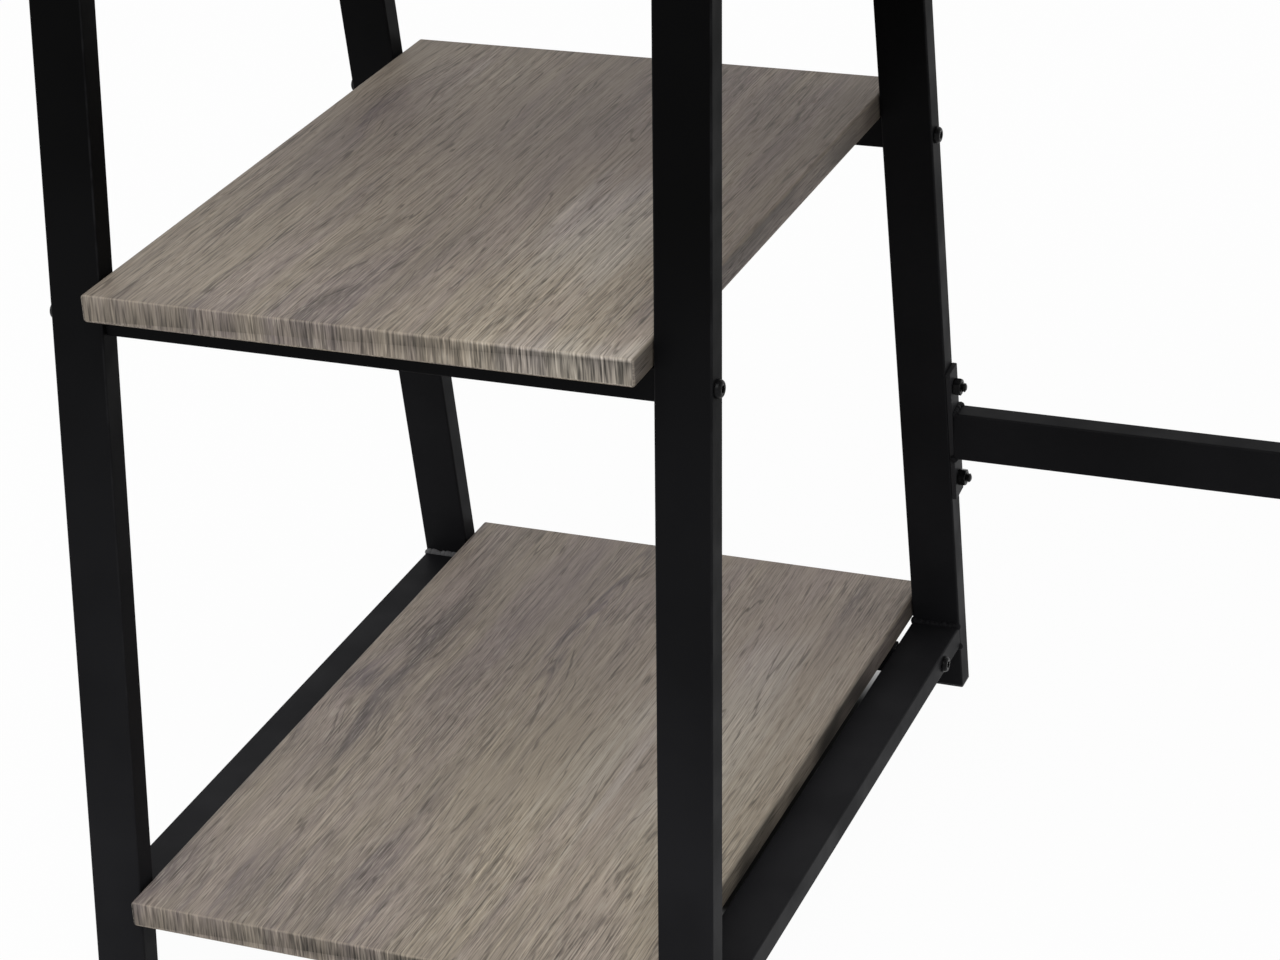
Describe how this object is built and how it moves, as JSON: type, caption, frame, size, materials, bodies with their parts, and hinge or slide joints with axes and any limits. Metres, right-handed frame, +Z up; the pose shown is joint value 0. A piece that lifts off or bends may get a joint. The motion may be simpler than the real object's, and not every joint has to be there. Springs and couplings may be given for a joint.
{
  "type": "desk with shelves",
  "caption": "Writing desk on leaning A-frames of black flat tube, with open grey-brown wood shelves between the frames at one end and a back stretcher at the other.",
  "frame": {"origin": "on the floor, under the middle of the desktop", "axes": "+X along the desk, away from the shelves; +Y from the front edge to the back edge; +Z up"},
  "size_m": [1.2, 0.52, 0.75],
  "materials": {
    "board": "satin grey-brown driftwood foil with embossed grain",
    "frame": "satin black powder coat",
    "bolt": "black oxide",
    "zinc": "zinc plated",
    "foot": "moulded black plastic"
  },
  "bodies": {
    "root": {"desktop": "board", "upper_shelf": "board", "lower_shelf": "board", "left_front_leg": "frame", "left_back_leg": "frame", "left_foot_rail": "frame", "left_top_rail": "frame", "middle_front_leg": "frame", "middle_back_leg": "frame", "middle_foot_rail": "frame", "middle_top_rail": "frame", "right_front_leg": "frame", "right_back_leg": "frame", "right_foot_rail": "frame", "right_top_rail": "frame", "left_front_foot_plug": "foot", "left_back_foot_plug": "foot", "middle_front_foot_plug": "foot", "middle_back_foot_plug": "foot", "right_front_foot_plug": "foot", "right_back_foot_plug": "foot", "upper_front_rail": "frame", "upper_back_rail": "frame", "lower_front_rail": "frame", "lower_back_rail": "frame", "back_stretcher": "frame", "stretcher_left_plate": "frame", "stretcher_right_plate": "frame", "upper_rail_bolts": "bolt", "lower_rail_bolts": "bolt", "stretcher_studs": "bolt", "stretcher_nuts": "bolt", "upper_rail_plugs": "zinc", "lower_rail_plugs": "zinc", "upper_shelf_screws": "zinc", "lower_shelf_screws": "zinc", "desktop_screws": "zinc"}
  },
  "joints": []
}
